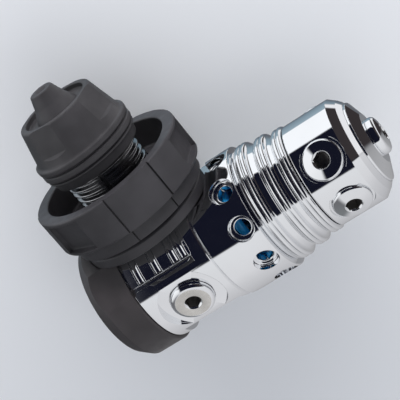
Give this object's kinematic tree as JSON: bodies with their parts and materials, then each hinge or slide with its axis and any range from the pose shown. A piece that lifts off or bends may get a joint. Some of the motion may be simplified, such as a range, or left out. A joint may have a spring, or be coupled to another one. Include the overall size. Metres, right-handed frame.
{
  "type": "diving regulator first stage",
  "caption": "Chromed balanced-piston first stage with swivel hose turret, screw-in cylinder connector, black handwheel, dust cap and end bumper.",
  "frame": {"origin": "on the cylinder connector's axis, where the outside thread's full form ends, under the dust cap's skirt", "axes": "+Y along the cylinder connector, out of the body towards the dust cap; +X along the piston, from the bumper towards the turret; +Z towards the front side port, so that the connector's axis and the piston's axis cross 46 mm below the origin"},
  "size_m": [0.091, 0.0825, 0.0466],
  "materials": {
    "chromed_brass": "polished plating",
    "satin_chrome": "satin plating",
    "dark_plated_brass": "dark plating",
    "bare_brass": "machined",
    "sintered_bronze": "porous",
    "piston_steel": "machined",
    "blue_coated_steel": "satin coating",
    "black_plastic": "fine grained",
    "bumper_plastic": "satin",
    "dust_cap_plastic": "fine grained",
    "seat_plastic": "smooth",
    "seal_rubber": "smooth"
  },
  "bodies": {
    "regulator_body": {"main_body": "chromed_brass", "end_bumper": "bumper_plastic", "seat_plug": "chromed_brass", "seat_plug_o_ring": "seal_rubber", "valve_seat": "seat_plastic", "stem_o_ring": "seal_rubber", "stem_bush": "seat_plastic", "spring_washer": "piston_steel", "main_spring": "blue_coated_steel", "body_cap": "chromed_brass", "swivel_bolt": "bare_brass", "side_plug_front": "satin_chrome", "side_plug_rear": "satin_chrome", "side_plug_o_rings": "seal_rubber", "insulating_ring": "black_plastic", "inlet_o_ring": "seal_rubber", "din_retainer": "chromed_brass", "din_face_o_ring": "seal_rubber", "inlet_filter": "sintered_bronze", "filter_clip": "piston_steel"},
    "coupling": {"coupling_nut": "dark_plated_brass", "handwheel": "black_plastic"},
    "cap": {"dust_cap": "dust_cap_plastic"},
    "turret": {"swivel_turret": "chromed_brass", "turret_end_cap": "chromed_brass", "turret_plug_1": "chromed_brass", "turret_plug_2": "chromed_brass", "turret_plug_3": "chromed_brass", "turret_plug_4": "chromed_brass", "turret_plug_o_rings": "seal_rubber", "end_plug": "chromed_brass", "end_plug_o_ring": "seal_rubber", "swivel_o_ring": "seal_rubber"},
    "piston": {"piston": "piston_steel", "piston_head_o_ring": "seal_rubber"}
  },
  "joints": [
    {"name": "handwheel_spin", "type": "hinge", "parent": "regulator_body", "child": "coupling", "pos_m": [0, 0, 0], "axis": [0, 1, 0], "continuous": true},
    {"name": "cap_pull", "type": "slide", "parent": "coupling", "child": "cap", "axis": [0, 1, 0], "range_m": [0, 0.035]},
    {"name": "turret_swivel", "type": "hinge", "parent": "regulator_body", "child": "turret", "pos_m": [0, -0.046, 0], "axis": [1, 0, 0], "continuous": true},
    {"name": "piston_slide", "type": "slide", "parent": "regulator_body", "child": "piston", "axis": [-1, 0, 0], "range_m": [0, 0.00125], "stiffness_N_per_m": 2000, "springref_m": -0.003, "deforming": ["main_spring"]}
  ]
}
